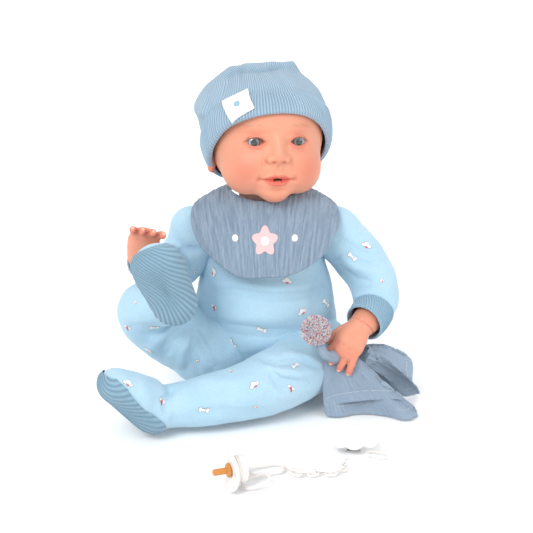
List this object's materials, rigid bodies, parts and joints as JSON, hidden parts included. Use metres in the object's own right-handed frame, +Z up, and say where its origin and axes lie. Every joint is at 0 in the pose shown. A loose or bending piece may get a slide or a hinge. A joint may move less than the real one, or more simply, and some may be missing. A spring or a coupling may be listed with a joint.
{
  "type": "interactive baby doll",
  "caption": "Seated soft-bodied baby doll with a vinyl head and limbs, sound box in its back, knitted hat, bib, footed romper, comforter cloth and a dummy on a chain with a clip.",
  "frame": {"origin": "on the floor under the seat, in the doll's middle", "axes": "+Z up; the doll faces -Y; its own left is +X"},
  "size_m": [0.2624, 0.2941, 0.2768],
  "materials": {
    "jersey": "matt knit",
    "rib": "ribbed knit",
    "muslin": "crinkled gauze",
    "body_cloth": "matt weave",
    "vinyl": "satin soft vinyl",
    "eye": "clear gloss",
    "label": "satin ribbon",
    "pompom_yarn": "cut yarn",
    "box_plastic": "satin",
    "board": "solder mask",
    "steel": "plated",
    "cone_paper": "matt",
    "white_plastic": "gloss",
    "teat_rubber": "satin",
    "lead_sheath": "matt"
  },
  "bodies": {
    "torso": {"cloth_torso": "body_cloth", "romper_torso": "jersey", "romper_collar": "rib", "romper_back_strip": "jersey", "bib": "muslin", "bib_snap": "white_plastic", "sound_box_front": "box_plastic", "sound_box_rear": "box_plastic", "button_cell_1": "steel", "button_cell_2": "steel", "button_cell_3": "steel", "contact_strip": "steel", "circuit_board": "board", "speaker": "steel", "speaker_cone": "cone_paper", "sensor_lead": "lead_sheath"},
    "battery_door": {"battery_door": "box_plastic"},
    "power_switch": {"power_switch": "cone_paper"},
    "neck": {"neck_sleeve": "body_cloth", "neck_tie": "white_plastic"},
    "head": {"head_shell": "vinyl", "eye_right": "eye", "eye_left": "eye", "eye_cup_right": "white_plastic", "eye_cup_left": "white_plastic", "mouth_sensor": "box_plastic", "hat_crown": "rib", "hat_cuff": "rib", "hat_label": "label"},
    "arm_right": {"cloth_arm_right": "body_cloth", "vinyl_hand_right": "vinyl", "romper_sleeve_right": "jersey", "romper_cuff_right": "rib"},
    "arm_left": {"cloth_arm_left": "body_cloth", "vinyl_hand_left": "vinyl", "romper_sleeve_left": "jersey", "romper_cuff_left": "rib"},
    "leg_right": {"cloth_leg_right": "body_cloth", "vinyl_leg_right": "vinyl", "romper_leg_right": "jersey", "romper_sole_right": "rib"},
    "leg_left": {"cloth_leg_left": "body_cloth", "vinyl_leg_left": "vinyl", "romper_leg_left": "jersey", "romper_sole_left": "rib"},
    "comforter": {"comforter_cloth": "muslin", "pompom": "pompom_yarn"},
    "dummy": {"dummy_shield": "white_plastic", "dummy_teat": "teat_rubber", "dummy_magnet": "steel", "dummy_knob": "white_plastic", "dummy_ring": "white_plastic", "chain_loop": "white_plastic", "chain_links": "white_plastic", "clip_front": "white_plastic", "clip_jaw": "steel", "clip_loop": "white_plastic"},
    "clip_lever": {"clip_lever": "steel"}
  },
  "joints": [
    {"name": "head_nod", "type": "hinge", "parent": "torso", "child": "neck", "pos_m": [0.002, 0, 0.156], "axis": [-0.9846, -0.1715, -0.0343], "range_deg": [-8, 5]},
    {"name": "head_turn", "type": "hinge", "parent": "neck", "child": "head", "pos_m": [0.002, 0, 0.156], "axis": [-0.0659, 0.1823, 0.981], "range_deg": [-50, 35]},
    {"name": "shoulder_right", "type": "hinge", "parent": "torso", "child": "arm_right", "pos_m": [-0.058, 0, 0.1325], "axis": [-1, 0, 0], "range_deg": [0, 45]},
    {"name": "shoulder_left", "type": "hinge", "parent": "torso", "child": "arm_left", "pos_m": [0.058, 0, 0.1325], "axis": [0, -1, 0], "range_deg": [0, 50]},
    {"name": "hip_right", "type": "hinge", "parent": "torso", "child": "leg_right", "pos_m": [-0.04, -0.022, 0.0335], "axis": [1, 0, 0], "range_deg": [0, 15]},
    {"name": "hip_left", "type": "hinge", "parent": "torso", "child": "leg_left", "pos_m": [0.04, -0.022, 0.0335], "axis": [-0.5356, 0.8444, 0], "range_deg": [0, 10]},
    {"name": "battery_door_slide", "type": "slide", "parent": "torso", "child": "battery_door", "axis": [0, 0, 1], "range_m": [0, 0.003]},
    {"name": "power_switch_slide", "type": "slide", "parent": "torso", "child": "power_switch", "axis": [1, 0, 0], "range_m": [0, 0.003]},
    {"name": "comforter_pull", "type": "slide", "parent": "torso", "child": "comforter", "axis": [0.9, -0.4359, 0], "range_m": [0, 0.1]},
    {"name": "dummy_lift", "type": "slide", "parent": "torso", "child": "dummy", "axis": [0, 0, 1], "range_m": [0, 0.3]},
    {"name": "clip_lever_hinge", "type": "hinge", "parent": "dummy", "child": "clip_lever", "pos_m": [0.07, -0.1307, 0.0072], "axis": [1, 0, 0], "range_deg": [0, 25], "stiffness_Nm_per_rad": 0.05}
  ]
}
